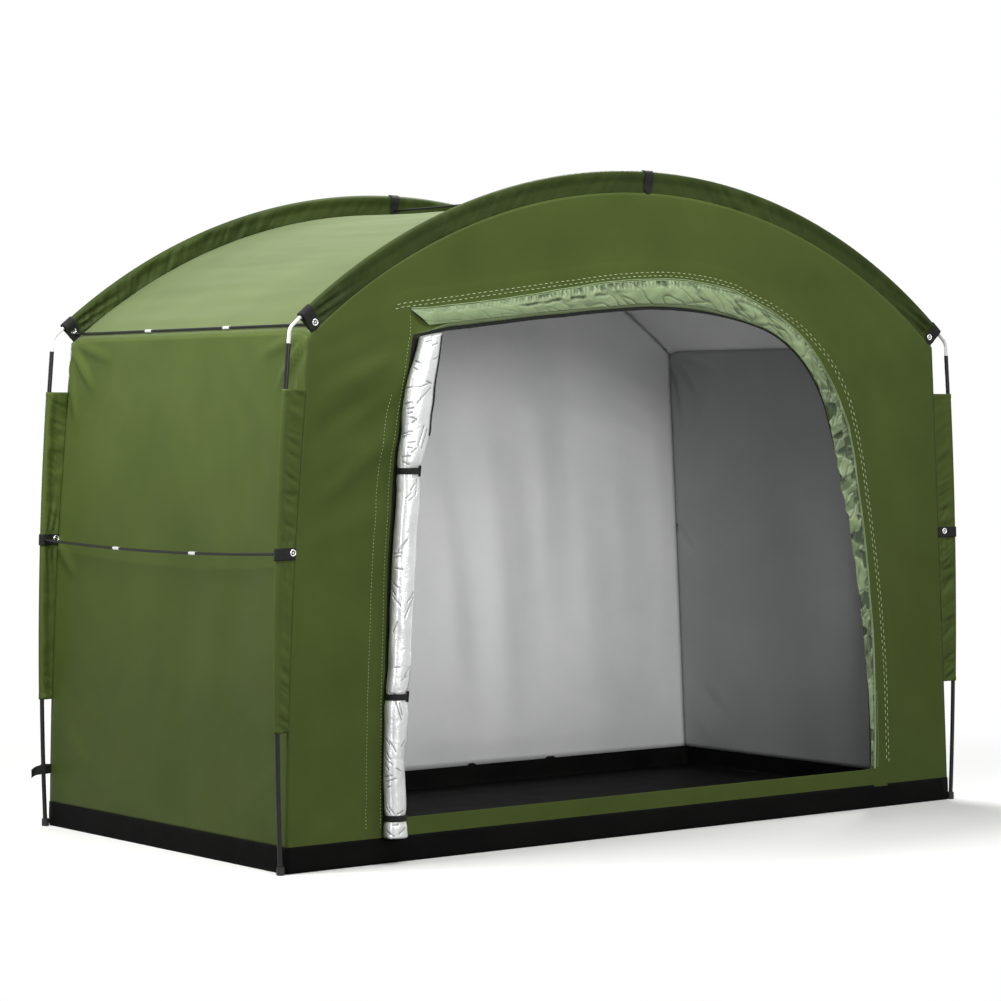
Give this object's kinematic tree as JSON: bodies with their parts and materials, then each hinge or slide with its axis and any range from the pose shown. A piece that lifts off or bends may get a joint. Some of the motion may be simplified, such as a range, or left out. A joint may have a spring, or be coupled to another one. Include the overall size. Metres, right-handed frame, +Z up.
{
  "type": "fabric bike shelter",
  "caption": "Barrel-roofed fabric shelter for bikes on two outside hoops, with pole sleeves, straps, spreader rods, a tub floor and a rolled-up round-shouldered door.",
  "frame": {"origin": "middle of the groundsheet's underside, on the ground", "axes": "+X along the front from the rolled door towards the free jamb, +Y from the doorway to the rear wall, +Z up"},
  "size_m": [2.4692, 1.2161, 1.7905],
  "materials": {
    "green_cloth": "silver-backed woven polyester, satin olive green",
    "silver_lining": "silver coated inside of the same cloth",
    "groundsheet": "black woven polyethylene sheet",
    "black_webbing": "woven polypropylene webbing",
    "black_tube": "black powder coat on steel tube",
    "white_elbow": "white powder coat on bent steel bar",
    "black_cap": "moulded black foot cap",
    "black_rod": "black pultruded glass fibre rod",
    "white_ferrule": "plain drawn ferrule",
    "bright_stud": "nickel plated snap cap"
  },
  "bodies": {
    "root": {"door_roll": "silver_lining", "door_roll_ties": "black_webbing", "door_weather_flap": "green_cloth", "foot_caps": "black_cap", "front_arch_pole": "black_tube", "front_arch_sleeve": "green_cloth", "front_crown_strap": "black_webbing", "front_left_eave_strap": "black_webbing", "front_left_elbow": "white_elbow", "front_left_leg": "black_tube", "front_left_leg_sleeve": "green_cloth", "front_left_mid_strap": "black_webbing", "front_right_eave_strap": "black_webbing", "front_right_elbow": "white_elbow", "front_right_leg": "black_tube", "front_right_leg_sleeve": "green_cloth", "front_right_mid_strap": "black_webbing", "front_wall": "green_cloth", "left_eave_rod": "black_rod", "left_mid_rod": "black_rod", "left_wall": "green_cloth", "rear_arch_pole": "black_tube", "rear_arch_sleeve": "green_cloth", "rear_crown_strap": "black_webbing", "rear_left_eave_strap": "black_webbing", "rear_left_elbow": "white_elbow", "rear_left_leg": "black_tube", "rear_left_leg_sleeve": "green_cloth", "rear_left_low_strap": "black_webbing", "rear_left_mid_strap": "black_webbing", "rear_right_eave_strap": "black_webbing", "rear_right_elbow": "white_elbow", "rear_right_leg": "black_tube", "rear_right_leg_sleeve": "green_cloth", "rear_right_low_strap": "black_webbing", "rear_right_mid_strap": "black_webbing", "rear_wall": "green_cloth", "ridge_rod": "black_rod", "right_eave_rod": "black_rod", "right_mid_rod": "black_rod", "right_wall": "green_cloth", "rod_ferrules": "white_ferrule", "roof_canopy": "green_cloth", "strap_studs": "bright_stud", "tub_floor": "groundsheet"}
  },
  "joints": []
}
